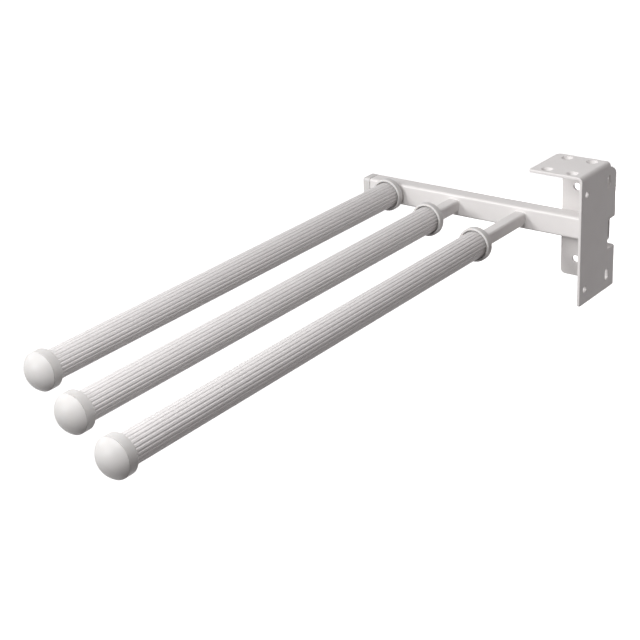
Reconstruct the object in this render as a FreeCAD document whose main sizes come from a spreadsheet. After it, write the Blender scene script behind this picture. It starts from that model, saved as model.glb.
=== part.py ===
import FreeCAD, Part
import math
import os
import Sketcher

# Pull-out towel holder: a folded steel bracket carries a crossbar, and three fluted
# tubes slide in and out on square rails that stand out of the crossbar.
#
# Frame: the origin is the centre of the bracket's top flange, on its top face.
# +Z is up, +Y is towards the back, -Y is the way the arms pull out, and +X points
# from the free end of the crossbar to the bracket's side plate. Lengths are millimetres.

# Driving sizes: name, value, what it measures
SIZES = [
    ("sheet_thickness", 2.3, "steel sheet of the bracket"),
    ("bend_inside", 1.2, "inside radius of the bracket's folds"),
    ("flange_width", 43, "top flange, across, to the outer face of the side plate"),
    ("flange_depth", 44, "top flange, front to back"),
    ("plate_depth", 55.5, "side plate, front edge to the outer face of the back flange"),
    ("plate_height", 97.5, "side plate, top face of the flange to the bottom edge"),
    ("plate_corner", 14, "radius of the side plate's upper rear corner"),
    ("back_width", 44, "back flange, outer face of the side plate to its free edge"),
    ("flange_corner", 4, "radius of the top flange's rear corner"),
    ("flange_nose", 2, "radius of the top flange's front corner"),
    ("back_corner", 3.5, "corner radius of the back flange"),
    ("foot_corner", 2, "radius of the side plate's lower front corner"),
    ("notch_depth", 13.4, "notch in the rear edge, measured from the back flange's outer face"),
    ("notch_height", 23, "notch, top to bottom"),
    ("notch_drop", 43.8, "top face down to the top of the notch"),
    ("notch_reach", 12, "how far the notch runs round into the back flange"),
    ("screw_hole", 4.5, "through diameter of the countersunk holes"),
    ("screw_head", 8.5, "diameter of the countersinks"),
    ("top_pitch_across", 20, "top holes, across"),
    ("top_pitch_along", 30, "top holes, front to back"),
    ("side_hole", 5, "diameter of the side plate's holes and width of its slots"),
    ("slot_length", 9, "side plate's slots, end to end"),
    ("side_foot", 11.3, "bottom edge up to the side plate's lower holes"),
    ("side_pitch_deep", 34, "side plate's holes to its slots"),
    ("side_edge", 8, "front edge to the side plate's holes"),
    ("side_drop", 14.2, "top face down to the side plate's upper holes"),
    ("back_hole", 5.5, "diameter of the back flange's holes"),
    ("back_foot", 13.5, "bottom edge up to the back flange's lower hole"),
    ("back_edge", 12.3, "free edge of the back flange to its holes"),
    ("back_drop", 27, "top face down to the back flange's upper hole"),
    ("bar_height", 17, "crossbar, top to bottom"),
    ("bar_depth", 14, "crossbar, front to back"),
    ("bar_wall", 1.6, "wall of the crossbar"),
    ("bar_round", 2, "outer corner radius of the crossbar"),
    ("bar_setback", 13.5, "origin back to the crossbar's front face"),
    ("bar_overhang", 19.5, "axis of the outermost arm to the crossbar's open end"),
    ("bar_cap_head", 7.2, "thickness of the crossbar's end cap outside the crossbar"),
    ("bar_cap_plug", 10, "length of the end cap's plug inside the crossbar"),
    ("bar_cap_round", 1.5, "edge radius of the crossbar's end cap"),
    ("arm_drop", 52.5, "top face down to the axes of the arms"),
    ("near_arm", 69.5, "outer face of the side plate to the nearest arm"),
    ("arm_pitch", 58, "arm to arm"),
    ("rail_width", 9.5, "square rail, across its flats"),
    ("rail_wall", 1.2, "wall of the rail"),
    ("rail_round", 1.6, "outer corner radius of the rail"),
    ("travel", 230, "how far an arm pulls out"),
    ("arm_gap", 1.3, "crossbar to an arm that is pushed right in"),
    ("stop_gap", 0.3, "what is left before the stop at full travel"),
    ("pulled_first", 0, "how far the first arm stands out as drawn"),
    ("pulled_second", 32.5, "how far the second arm stands out as drawn"),
    ("pulled_third", 60, "how far the third arm stands out as drawn"),
    ("tube_radius", 10, "outer radius of the fluted tube"),
    ("tube_bore", 8.6, "bore radius of the fluted tube"),
    ("tube_length", 381, "length of the fluted tube"),
    ("flute_count", 24, "flutes round the tube"),
    ("flute_radius", 0.8, "radius of one flute's hollow"),
    ("flute_depth", 0.4, "depth of one flute"),
    ("collar_radius", 12.8, "outer radius of the collar"),
    ("collar_length", 5.7, "collar outside the tube, back face to rim"),
    ("collar_floor", 2.3, "back wall of the collar"),
    ("collar_mouth", 0.5, "gap between the tube and the collar's rim"),
    ("collar_round", 1.2, "edge radius of the collar"),
    ("sleeve_length", 14, "collar's sleeve inside the tube"),
    ("cap_radius", 13.1, "outer radius of the end cap"),
    ("cap_skirt", 7.8, "straight skirt of the end cap"),
    ("cap_cover", 4.7, "how far the skirt reaches back over the tube"),
    ("cap_mouth", 0.4, "gap between the tube and the skirt"),
    ("cap_round", 0.8, "edge radius of the skirt"),
    ("crease_round", 0.4, "edge radius of the skirt beside the dome"),
    ("dome_base", 12.6, "radius of the dome where it leaves the skirt"),
    ("dome_height", 7.3, "height of the dome"),
    ("plug_length", 12, "end cap's plug inside the tube"),
    ("push_gap", 0.05, "radial clearance of what is pushed into the tube"),
    ("slide_gap", 0.1, "clearance each side between a rail and a collar"),
    ("glide_length", 60, "glide inside the tube"),
    ("glide_gap", 0.08, "radial clearance of the glide in the tube"),
    ("glide_bevel", 1, "bevel on the glide's ends"),
    ("seat_gap", 0.05, "clearance each side between a rail and its glide"),
    ("pin_diameter", 3, "pin that holds the glide on its rail"),
    ("pin_gap", 0.02, "radial clearance of the pin"),
    ("pin_sink", 0.6, "how far the pin's ends lie under the glide's surface"),
    ("pin_setback", 12, "front end of the rail back to the pin"),
    ("pin_bevel", 0.3, "bevel on the pin's ends"),
    ("weld_leg", 0.6, "leg of the weld beads"),
    ("overrun", 1, "how far a cutting shape runs past what it cuts"),
]


class Size:
    """A length as a number, with the formula that ties it to the sheet."""

    def __init__(self, value, formula):
        self.value = value
        self.formula = formula

    def joined(self, sign, other, value):
        return Size(value, f"({self.formula} {sign} {as_size(other).formula})")

    def __add__(self, other):
        return self.joined("+", other, self.value + as_size(other).value)

    def __radd__(self, other):
        return as_size(other) + self

    def __sub__(self, other):
        return self.joined("-", other, self.value - as_size(other).value)

    def __mul__(self, other):
        return self.joined("*", other, self.value * as_size(other).value)

    def __truediv__(self, other):
        return self.joined("/", other, self.value / as_size(other).value)

    def __neg__(self):
        return Size(-self.value, f"(-{self.formula})")


def as_size(length):
    return length if isinstance(length, Size) else Size(length, repr(length))


NEAR_SHARE = 0.0001
FULL_TURN = 360
COUNTERSINK_ANGLE = 90
WELD_ANGLE = 45

document = FreeCAD.newDocument("towel_holder")
sheet = document.addObject("Spreadsheet::Sheet", "sizes")
S = {}
for row, (alias, value, meaning) in enumerate(SIZES, start=1):
    sheet.set(f"A{row}", alias)
    sheet.set(f"B{row}", str(value))
    sheet.set(f"C{row}", meaning)
    sheet.setAlias(f"B{row}", alias)
    S[alias] = Size(value, f"sizes.{alias}")
document.recompute()

# Places worked out from the sizes
outer_x = S["flange_width"] / 2
inner_x = outer_x - S["sheet_thickness"]
front_y = -(S["flange_depth"] / 2)
back_y = front_y + S["plate_depth"]
bend_outside = S["bend_inside"] + S["sheet_thickness"]
back_x = outer_x - S["back_width"]
back_top = bend_outside + S["plate_corner"]
arm_x = [outer_x - S["near_arm"] - S["arm_pitch"] * (2 - number) for number in range(3)]
bar_left = arm_x[0] - S["bar_overhang"]
sleeve_end = S["collar_floor"] + S["sleeve_length"]
rail_length = S["arm_gap"] + sleeve_end + S["travel"] + S["stop_gap"] + S["glide_length"]
arm_back = [S["bar_setback"] - S["arm_gap"] - S[f"pulled_{name}"] for name in ("first", "second", "third")]
tube_start = S["collar_floor"]
tube_end = tube_start + S["tube_length"]


def bind(thing, name, size):
    """Ties a property to the sheet."""
    thing.setExpression(name, as_size(size).formula)


def place(thing, x, y, z):
    for axis, length in (("x", x), ("y", y), ("z", z)):
        bind(thing, f"Placement.Base.{axis}", length)


def new_body(label):
    body = document.addObject("PartDesign::Body", label)
    body.Label = label
    return body


def new_sketch(body, role, away=0):
    """A sketch on one of the body's own planes, moved away along the plane's normal."""
    planes = [plane for plane in body.Origin.OriginFeatures if plane.Role == role]
    sketch = body.newObject("Sketcher::SketchObject", "Sketch")
    sketch.AttachmentSupport = (planes[0], "")
    sketch.MapMode = "FlatFace"
    if isinstance(away, Size):
        bind(sketch, "AttachmentOffset.Base.z", away)
    return sketch


def tie(sketch, kind, geometry, point, size):
    """Ties one coordinate of a point, or a circle's radius, to the sheet."""
    if kind == "Radius":
        index = sketch.addConstraint(Sketcher.Constraint(kind, geometry, size.value))
    elif not isinstance(size, Size):
        axis = -2 if kind == "DistanceX" else -1
        sketch.addConstraint(Sketcher.Constraint("PointOnObject", geometry, point, axis))
        return
    else:
        index = sketch.addConstraint(Sketcher.Constraint(kind, -1, 1, geometry, point, size.value))
    bind(sketch, f"Constraints[{index}]", size)


def arc_between(start, end, radius, turn):
    """The arc from start to end that turns left (turn 1) or right (turn -1)."""
    chord = end - start
    side = FreeCAD.Vector(-chord.y, chord.x, 0).normalize()
    height = math.sqrt(max(radius * radius - chord.Length * chord.Length / 4, 0))
    centre = start + chord / 2 + side * (height * turn)
    first, last = (start, end) if turn > 0 else (end, start)
    begin = math.atan2(first.y - centre.y, first.x - centre.x)
    stop = math.atan2(last.y - centre.y, last.x - centre.x)
    return Part.ArcOfCircle(Part.Circle(centre, FreeCAD.Vector(0, 0, 1), radius), begin, stop)


def outline(sketch, corners, half_circles=False):
    """Closes an outline. A corner is (x, y), or (x, y, radius, turn) where an arc leads on from it.

    An arc is tied by its radius, and a half circle by its centre, level with the corner."""
    points = [FreeCAD.Vector(as_size(corner[0]).value, as_size(corner[1]).value, 0) for corner in corners]
    ends = []
    for index, corner in enumerate(corners):
        start = points[index]
        end = points[(index + 1) % len(points)]
        if len(corner) == 2:
            geometry = sketch.addGeometry(Part.LineSegment(start, end))
            ends.append((geometry, 1, 2))
        else:
            geometry = sketch.addGeometry(arc_between(start, end, corner[2].value, corner[3]))
            ends.append((geometry, 1, 2) if corner[3] > 0 else (geometry, 2, 1))
    for index, corner in enumerate(corners):
        geometry, begin, stop = ends[index]
        following, next_begin, _ = ends[(index + 1) % len(ends)]
        sketch.addConstraint(Sketcher.Constraint("Coincident", geometry, stop, following, next_begin))
        tie(sketch, "DistanceX", geometry, begin, corner[0])
        tie(sketch, "DistanceY", geometry, begin, corner[1])
        if len(corner) == 4 and half_circles:
            tie(sketch, "DistanceY", geometry, 3, corner[1])
        elif len(corner) == 4:
            tie(sketch, "Radius", geometry, 0, corner[2])


def rounded_rectangle(sketch, left, bottom, right, top, radius):
    outline(sketch, [
        (left + radius, bottom),
        (right - radius, bottom, radius, 1),
        (right, bottom + radius),
        (right, top - radius, radius, 1),
        (right - radius, top),
        (left + radius, top, radius, 1),
        (left, top - radius),
        (left, bottom + radius, radius, 1),
    ])


def rectangle(sketch, left, bottom, right, top):
    outline(sketch, [(left, bottom), (right, bottom), (right, top), (left, top)])


def circle(sketch, x, y, radius):
    centre = FreeCAD.Vector(as_size(x).value, as_size(y).value, 0)
    geometry = sketch.addGeometry(Part.Circle(centre, FreeCAD.Vector(0, 0, 1), radius.value))
    tie(sketch, "DistanceX", geometry, 3, x)
    tie(sketch, "DistanceY", geometry, 3, y)
    tie(sketch, "Radius", geometry, 0, radius)


def upright_slot(sketch, x, y, length, width):
    radius = width / 2
    reach = length / 2 - radius
    outline(sketch, [
        (x + radius, y - reach),
        (x + radius, y + reach, radius, 1),
        (x - radius, y + reach),
        (x - radius, y - reach, radius, 1),
    ], half_circles=True)


def pad(body, sketch, length, both_ways=False, backwards=False):
    """Adds the sketch's outline as solid, along its normal unless told otherwise."""
    feature = body.newObject("PartDesign::Pad", "Pad")
    feature.Profile = sketch
    bind(feature, "Length", length)
    feature.SideType = "Symmetric" if both_ways else "One side"
    feature.Reversed = backwards
    document.recompute()
    return feature


def pocket(body, sketch, depth, both_ways=False, backwards=False):
    """Cuts the sketch's outline, against its normal unless told otherwise."""
    before = body.Shape.Volume
    feature = body.newObject("PartDesign::Pocket", "Pocket")
    feature.Profile = sketch
    bind(feature, "Length", depth)
    feature.SideType = "Symmetric" if both_ways else "One side"
    feature.Reversed = backwards
    document.recompute()
    if body.Shape.Volume >= before:
        raise ValueError(f"{body.Label}: {feature.Name} cuts nothing")
    return feature


def revolve(body, sketch):
    """Turns the sketch's outline round its horizontal axis."""
    feature = body.newObject("PartDesign::Revolution", "Revolution")
    feature.Profile = sketch
    feature.ReferenceAxis = (sketch, ["H_Axis"])
    feature.Angle = FULL_TURN
    document.recompute()


def soften(body, kind, size, chosen):
    """Rounds or bevels the edges that the test chooses."""
    base = body.Tip
    names = [f"Edge{number}" for number, edge in enumerate(base.Shape.Edges, start=1) if chosen(edge)]
    if not names:
        raise ValueError(f"{body.Label}: no edge to soften")
    feature = body.newObject(f"PartDesign::{kind}", kind)
    feature.Base = (base, names)
    bind(feature, "Radius" if kind == "Fillet" else "Size", size)
    document.recompute()


def near(first, second):
    """Whether two lengths are the same, to a small share of the bracket's height."""
    return abs(first - second) < NEAR_SHARE * S["plate_height"].value


def runs_along(edge, axis):
    """Whether the edge is straight and lies along the axis, 0 for X, 1 for Y and 2 for Z."""
    box = edge.BoundBox
    spans = (box.XLength, box.YLength, box.ZLength)
    return isinstance(edge.Curve, Part.Line) and all(near(spans[side], 0) for side in range(3) if side != axis)


def ring_at(y, radius):
    """A test for round edges of that radius, square to the arm, at that distance along it."""
    def chosen(edge):
        box = edge.BoundBox
        return near(box.YMin, y) and near(box.YMax, y) and near(edge.Length, 2 * math.pi * radius)
    return chosen


# Folded steel bracket

def mounting_bracket():
    body = new_body("mounting_bracket")
    over = S["overrun"]
    thickness = S["sheet_thickness"]

    side_and_back = new_sketch(body, "XY_Plane", -bend_outside)
    outline(side_and_back, [
        (outer_x, front_y),
        (outer_x, back_y - bend_outside, bend_outside, 1),
        (outer_x - bend_outside, back_y),
        (back_x, back_y),
        (back_x, back_y - thickness),
        (outer_x - bend_outside, back_y - thickness, S["bend_inside"], -1),
        (inner_x, back_y - bend_outside),
        (inner_x, front_y),
    ])
    pad(body, side_and_back, S["plate_height"] - bend_outside, backwards=True)

    corner = new_sketch(body, "YZ_Plane")
    outline(corner, [
        (back_y - S["plate_corner"], over),
        (back_y - S["plate_corner"], -bend_outside, S["plate_corner"], -1),
        (back_y, -back_top),
        (back_y + over, -back_top),
        (back_y + over, over),
    ])
    pocket(body, corner, S["back_width"] * 2, both_ways=True)

    top_edge = new_sketch(body, "XY_Plane")
    rectangle(top_edge, back_x - over, back_y - thickness - over, outer_x - bend_outside, back_y + over)
    pocket(body, top_edge, back_top)

    top_and_side = new_sketch(body, "XZ_Plane")
    outline(top_and_side, [
        (-outer_x, 0),
        (outer_x - bend_outside, 0, bend_outside, -1),
        (outer_x, -bend_outside),
        (outer_x, -S["plate_height"]),
        (inner_x, -S["plate_height"]),
        (inner_x, -bend_outside, S["bend_inside"], 1),
        (outer_x - bend_outside, -thickness),
        (-outer_x, -thickness),
    ])
    pad(body, top_and_side, S["flange_depth"], both_ways=True)

    notch = new_sketch(body, "YZ_Plane", outer_x)
    notch_bottom = -(S["notch_drop"] + S["notch_height"])
    rectangle(notch, back_y - S["notch_depth"], notch_bottom, back_y + over, -S["notch_drop"])
    pocket(body, notch, S["notch_reach"])

    side_holes = new_sketch(body, "YZ_Plane", outer_x)
    hole_y = front_y + S["side_edge"]
    for drop in (S["side_drop"], S["plate_height"] - S["side_foot"]):
        circle(side_holes, hole_y, -drop, S["side_hole"] / 2)
        upright_slot(side_holes, hole_y + S["side_pitch_deep"], -drop, S["slot_length"], S["side_hole"])
    pocket(body, side_holes, thickness + over)

    back_holes = new_sketch(body, "XZ_Plane", -(back_y - thickness))
    for drop in (S["back_drop"], S["plate_height"] - S["back_foot"]):
        circle(back_holes, back_x + S["back_edge"], -drop, S["back_hole"] / 2)
    pocket(body, back_holes, thickness + over)

    top_holes = new_sketch(body, "XY_Plane")
    for x in (-(S["top_pitch_across"] / 2), S["top_pitch_across"] / 2):
        for y in (-(S["top_pitch_along"] / 2), S["top_pitch_along"] / 2):
            circle(top_holes, x, y, S["screw_hole"] / 2)
    document.recompute()
    hole = body.newObject("PartDesign::Hole", "Hole")
    hole.Profile = top_holes
    document.recompute()
    hole.DepthType = "ThroughAll"
    hole.HoleCutType = "Countersink"
    hole.HoleCutCustomValues = True
    hole.HoleCutCountersinkAngle = COUNTERSINK_ANGLE
    bind(hole, "Diameter", S["screw_hole"])
    bind(hole, "HoleCutDiameter", S["screw_head"])
    document.recompute()

    left = -outer_x.value
    bottom = -S["plate_height"].value
    soften(body, "Fillet", S["flange_corner"],
           lambda edge: runs_along(edge, 2) and near(edge.BoundBox.XMax, left)
           and near(edge.BoundBox.YMax, -front_y.value))
    soften(body, "Fillet", S["flange_nose"],
           lambda edge: runs_along(edge, 2) and near(edge.BoundBox.XMax, left)
           and near(edge.BoundBox.YMax, front_y.value))
    soften(body, "Fillet", S["back_corner"],
           lambda edge: runs_along(edge, 1) and near(edge.BoundBox.XMax, back_x.value))
    soften(body, "Fillet", S["foot_corner"],
           lambda edge: runs_along(edge, 0) and near(edge.BoundBox.YMax, front_y.value)
           and near(edge.BoundBox.ZMax, bottom))
    return body


# Crossbar with its end cap

def bar_section(sketch, inset):
    """The crossbar's section, drawn smaller by the inset all round."""
    half = S["bar_height"] / 2 - inset
    rounded_rectangle(sketch, inset, -half, S["bar_depth"] - inset, half, S["bar_round"] - inset)


def crossbar():
    body = new_body("crossbar")
    section = new_sketch(body, "YZ_Plane")
    bar_section(section, 0)
    bar_section(section, S["bar_wall"])
    pad(body, section, inner_x - bar_left)
    place(body, bar_left, S["bar_setback"], -S["arm_drop"])
    return body


def crossbar_end_cap():
    body = new_body("crossbar_end_cap")
    head = new_sketch(body, "YZ_Plane")
    bar_section(head, 0)
    pad(body, head, S["bar_cap_head"], backwards=True)
    outer = -S["bar_cap_head"].value
    soften(body, "Fillet", S["bar_cap_round"],
           lambda edge: near(edge.BoundBox.XMin, outer) and near(edge.BoundBox.XMax, outer))
    plug = new_sketch(body, "YZ_Plane")
    bar_section(plug, S["bar_wall"] + S["push_gap"])
    pad(body, plug, S["bar_cap_plug"])
    place(body, bar_left, S["bar_setback"], -S["arm_drop"])
    return body


# Square rails, the glides pinned on their front ends, and the weld beads

def rail_section(sketch, grown):
    """The rail's section about the arm's axis, drawn larger by the given length all round."""
    half = S["rail_width"] / 2 + grown
    rounded_rectangle(sketch, -half, -half, half, half, S["rail_round"] + grown)


def pin_hole(body):
    hole = new_sketch(body, "XY_Plane")
    circle(hole, 0, -(rail_length - S["pin_setback"]), S["pin_diameter"] / 2 + S["pin_gap"])
    pocket(body, hole, S["tube_bore"] * 2 + S["overrun"], both_ways=True)


def rail(number):
    body = new_body(f"rail_{number + 1}")
    section = new_sketch(body, "XZ_Plane")
    rail_section(section, 0)
    rail_section(section, -S["rail_wall"])
    pad(body, section, rail_length)
    pin_hole(body)
    place(body, arm_x[number], S["bar_setback"], -S["arm_drop"])
    return body


def glide(number):
    body = new_body(f"glide_{number + 1}")
    radius = S["tube_bore"] - S["glide_gap"]
    back = rail_length - S["glide_length"]
    section = new_sketch(body, "XZ_Plane", back)
    circle(section, 0, 0, radius)
    rail_section(section, S["seat_gap"])
    pad(body, section, S["glide_length"])
    is_back = ring_at(-back.value, radius.value)
    is_front = ring_at(-rail_length.value, radius.value)
    soften(body, "Chamfer", S["glide_bevel"], lambda edge: is_back(edge) or is_front(edge))
    pin_hole(body)
    place(body, arm_x[number], S["bar_setback"], -S["arm_drop"])
    return body


def glide_pin(number):
    body = new_body(f"glide_pin_{number + 1}")
    section = new_sketch(body, "XY_Plane")
    circle(section, 0, 0, S["pin_diameter"] / 2)
    half = S["tube_bore"] - S["glide_gap"] - S["pin_sink"]
    pad(body, section, half * 2, both_ways=True)
    soften(body, "Chamfer", S["pin_bevel"], lambda edge: isinstance(edge.Curve, Part.Circle))
    place(body, arm_x[number], S["bar_setback"] - (rail_length - S["pin_setback"]), -S["arm_drop"])
    return body


def taper(feature):
    """Draws a pad in by its own length, as a fillet weld is."""
    feature.TaperAngle = -WELD_ANGLE
    document.recompute()


def rail_weld(number):
    body = new_body(f"rail_weld_{number + 1}")
    foot = new_sketch(body, "XZ_Plane")
    rail_section(foot, S["weld_leg"])
    taper(pad(body, foot, S["weld_leg"]))
    middle = new_sketch(body, "XZ_Plane")
    rail_section(middle, 0)
    pocket(body, middle, S["weld_leg"], backwards=True)
    place(body, arm_x[number], S["bar_setback"], -S["arm_drop"])
    return body


def bracket_weld():
    body = new_body("bracket_weld")
    foot = new_sketch(body, "YZ_Plane")
    bar_section(foot, -S["weld_leg"])
    taper(pad(body, foot, S["weld_leg"], backwards=True))
    middle = new_sketch(body, "YZ_Plane")
    bar_section(middle, 0)
    pocket(body, middle, S["weld_leg"])
    at_notch = new_sketch(body, "YZ_Plane")
    over = S["weld_leg"] + S["overrun"]
    half = S["bar_height"] / 2 + over
    notch_front = back_y - S["notch_depth"] - S["bar_setback"]
    rectangle(at_notch, notch_front, -half, S["bar_depth"] + over, half)
    pocket(body, at_notch, S["weld_leg"])
    place(body, inner_x, S["bar_setback"], -S["arm_drop"])
    return body


# Sliding arms: fluted tube, collar at the back and domed cap at the front

def place_on_arm(body, number):
    place(body, arm_x[number], arm_back[number], -S["arm_drop"])


def tube(number):
    body = new_body(f"tube_{number + 1}")
    section = new_sketch(body, "XZ_Plane", tube_start)
    circle(section, 0, 0, S["tube_radius"])
    circle(section, 0, 0, S["tube_bore"])
    pad(body, section, S["tube_length"])
    hollow = new_sketch(body, "XZ_Plane", tube_start)
    circle(hollow, 0, S["tube_radius"] + S["flute_radius"] - S["flute_depth"], S["flute_radius"])
    flute = pocket(body, hollow, S["tube_length"], backwards=True)
    flutes = body.newObject("PartDesign::PolarPattern", "PolarPattern")
    flutes.Originals = [flute]
    flutes.Axis = (hollow, ["N_Axis"])
    flutes.Angle = FULL_TURN
    flutes.setExpression("Occurrences", f"round({S['flute_count'].formula})")
    body.Tip = flutes
    place_on_arm(body, number)
    return body


def collar(number):
    body = new_body(f"collar_{number + 1}")
    mouth = S["tube_radius"] + S["collar_mouth"]
    sleeve = S["tube_bore"] - S["push_gap"]
    profile = new_sketch(body, "YZ_Plane")
    outline(profile, [
        (0, 0),
        (0, S["collar_radius"]),
        (-S["collar_length"], S["collar_radius"]),
        (-S["collar_length"], mouth),
        (-S["collar_floor"], mouth),
        (-S["collar_floor"], sleeve),
        (-sleeve_end, sleeve),
        (-sleeve_end, 0),
    ])
    revolve(body, profile)
    is_back = ring_at(0, S["collar_radius"].value)
    is_rim = ring_at(-S["collar_length"].value, S["collar_radius"].value)
    soften(body, "Fillet", S["collar_round"], lambda edge: is_back(edge) or is_rim(edge))
    square = new_sketch(body, "XZ_Plane")
    rail_section(square, S["slide_gap"])
    pocket(body, square, sleeve_end, backwards=True)
    place_on_arm(body, number)
    return body


def end_cap(number):
    body = new_body(f"end_cap_{number + 1}")
    mouth = S["tube_radius"] + S["cap_mouth"]
    plug = S["tube_bore"] - S["push_gap"]
    plug_end = -(tube_end - S["plug_length"])
    skirt_back = -(tube_end - S["cap_cover"])
    crease = skirt_back - S["cap_skirt"]
    height = S["dome_height"]
    dome_radius = (S["dome_base"] * S["dome_base"] + height * height) / (height * 2)
    profile = new_sketch(body, "YZ_Plane")
    outline(profile, [
        (plug_end, 0),
        (plug_end, plug),
        (-tube_end, plug),
        (-tube_end, mouth),
        (skirt_back, mouth),
        (skirt_back, S["cap_radius"]),
        (crease, S["cap_radius"]),
        (crease, S["dome_base"], dome_radius, 1),
        (crease - height, 0),
    ])
    revolve(body, profile)
    soften(body, "Fillet", S["cap_round"], ring_at(skirt_back.value, S["cap_radius"].value))
    soften(body, "Fillet", S["crease_round"], ring_at(crease.value, S["cap_radius"].value))
    place_on_arm(body, number)
    return body


pieces = [mounting_bracket(), crossbar(), crossbar_end_cap(), bracket_weld()]
for number in range(len(arm_x)):
    for make in (rail, rail_weld, glide, glide_pin, tube, collar, end_cap):
        pieces.append(make(number))
document.recompute()

for thing in document.Objects:
    if "Invalid" in thing.State or "Error" in thing.State:
        raise ValueError(f"{thing.Label} could not be made")
for piece in pieces:
    shape = piece.Shape
    if shape.isNull() or not shape.isValid() or len(shape.Solids) != 1:
        raise ValueError(f"{piece.Label} is not one sound solid")

os.makedirs("parts", exist_ok=True)
for piece in pieces:
    piece.Shape.exportStep(f"parts/{piece.Label}.step")
    box = piece.Shape.BoundBox
    print(f"{piece.Label}: {piece.Shape.Volume:.0f} mm3, "
          f"x {box.XMin:.1f} to {box.XMax:.1f}, y {box.YMin:.1f} to {box.YMax:.1f}, z {box.ZMin:.1f} to {box.ZMax:.1f}")
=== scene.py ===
# %% [markdown]
# # A pull-out towel holder, step by step
#
# Three fluted tubes slide on square rails. The rails stand out of a crossbar, and the crossbar
# is welded to a folded steel bracket that is screwed under a shelf or to a cabinet's side.
# The frame that we load first holds every piece at its real size, in metres. Our job is the
# surface: soft edges, coated and moulded finishes, and light that shows them.
#
# The frame's +Z is up, the arms pull out towards -Y, and the bracket stands at the +X end.

import math

import bmesh
import bpy
from mathutils import Matrix, Vector, noise


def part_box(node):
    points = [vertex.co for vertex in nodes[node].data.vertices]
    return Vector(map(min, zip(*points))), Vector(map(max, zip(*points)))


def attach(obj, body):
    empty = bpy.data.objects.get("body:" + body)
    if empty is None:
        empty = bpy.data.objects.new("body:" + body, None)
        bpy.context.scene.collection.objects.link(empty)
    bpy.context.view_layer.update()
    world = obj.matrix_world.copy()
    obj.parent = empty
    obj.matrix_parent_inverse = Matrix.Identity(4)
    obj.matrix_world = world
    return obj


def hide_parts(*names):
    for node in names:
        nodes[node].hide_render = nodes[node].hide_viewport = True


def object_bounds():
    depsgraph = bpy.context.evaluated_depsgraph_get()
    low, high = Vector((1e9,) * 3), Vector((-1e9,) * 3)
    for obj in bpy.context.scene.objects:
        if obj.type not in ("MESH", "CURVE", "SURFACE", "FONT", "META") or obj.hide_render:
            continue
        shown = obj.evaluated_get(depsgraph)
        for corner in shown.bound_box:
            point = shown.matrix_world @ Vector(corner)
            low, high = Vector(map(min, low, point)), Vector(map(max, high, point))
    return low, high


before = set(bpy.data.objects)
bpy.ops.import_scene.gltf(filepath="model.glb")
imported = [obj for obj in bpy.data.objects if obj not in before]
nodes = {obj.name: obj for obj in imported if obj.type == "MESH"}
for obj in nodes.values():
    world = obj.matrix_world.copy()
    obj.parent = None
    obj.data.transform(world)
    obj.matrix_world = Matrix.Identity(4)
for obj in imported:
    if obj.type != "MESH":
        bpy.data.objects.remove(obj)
cad_low, cad_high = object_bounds()

MM = 0.001
ARMS = (1, 2, 3)


def in_mm(lengths):
    """A size as words, such as 20.0 x 381.0 x 20.0 mm."""
    return " x ".join(f"{length / MM:.1f}" for length in lengths) + " mm"


print(f"{len(nodes)} nodes, {in_mm(cad_high - cad_low)} overall")

# %% [markdown]
# ## Finishes
#
# Every finish starts from Principled BSDF. One flat colour and one roughness would look
# artificial, because no real coating is perfectly even. So both get a little noise, and a bump
# node gives the fine relief that a hand would feel. Noise needs no picture and no unwrapping, and
# it stays fine from close by. Object coordinates are in metres, so a noise scale of 1000 is about
# a millimetre.

# %% Helpers for shader nodes
# The Mix node has inputs of the same name for numbers and for colours, so these go by place.
COLOUR_SHARE = 0
COLOUR_FIRST = 6
COLOUR_SECOND = 7
COLOUR_RESULT = 2


def connect(tree, node, inputs):
    """Fills a node's inputs with values, or links them to other nodes' outputs."""
    for name, value in dict(inputs).items():
        if isinstance(value, bpy.types.NodeSocket):
            tree.links.new(value, node.inputs[name])
        else:
            node.inputs[name].default_value = value


def shader(tree, kind, inputs=(), **settings):
    """Adds a node, sets its properties, and fills or links its inputs."""
    made = tree.nodes.new(f"ShaderNode{kind}")
    for name, value in settings.items():
        setattr(made, name, value)
    connect(tree, made, inputs)
    return made


def new_material(name):
    """A node material, its tree, its Principled shader, and each point's place on the object."""
    material = bpy.data.materials.new(name)
    material.use_nodes = True
    tree = material.node_tree
    place = shader(tree, "TexCoord").outputs["Object"]
    print(f"finish {name}")
    return material, tree, tree.nodes["Principled BSDF"], place


# %% Helpers for uneven surfaces
# Nearly all values of a noise lie between these two.
NOISE_LOW = 0.3
NOISE_HIGH = 0.7


def mixed(tree, share, first, second):
    """Blends two colours. Each one is a colour or another node's output."""
    both = {COLOUR_SHARE: share, COLOUR_FIRST: first, COLOUR_SECOND: second}
    return shader(tree, "Mix", both, data_type="RGBA").outputs[COLOUR_RESULT]


def varied(tree, place, scale, low, high, detail=4.0, stretch=(1.0, 1.0, 1.0)):
    """A noise that runs from low to high, either numbers or colours."""
    mapping = shader(tree, "Mapping", {"Vector": place, "Scale": stretch})
    spots = shader(tree, "TexNoise", {
        "Vector": mapping.outputs["Vector"], "Scale": scale, "Detail": detail})
    numbers = not isinstance(low, tuple)
    spread = shader(tree, "MapRange", {
        "Value": spots.outputs["Fac"], "From Min": NOISE_LOW, "From Max": NOISE_HIGH,
        "To Min": low if numbers else 0.0, "To Max": high if numbers else 1.0})
    if numbers:
        return spread.outputs["Result"]
    return mixed(tree, spread.outputs["Result"], low, high)


def relief(tree, height, strength, depth):
    """The normal of a surface with the fine relief of a noise."""
    bump = shader(tree, "Bump", {"Height": height, "Strength": strength, "Distance": depth})
    return bump.outputs["Normal"]


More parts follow.
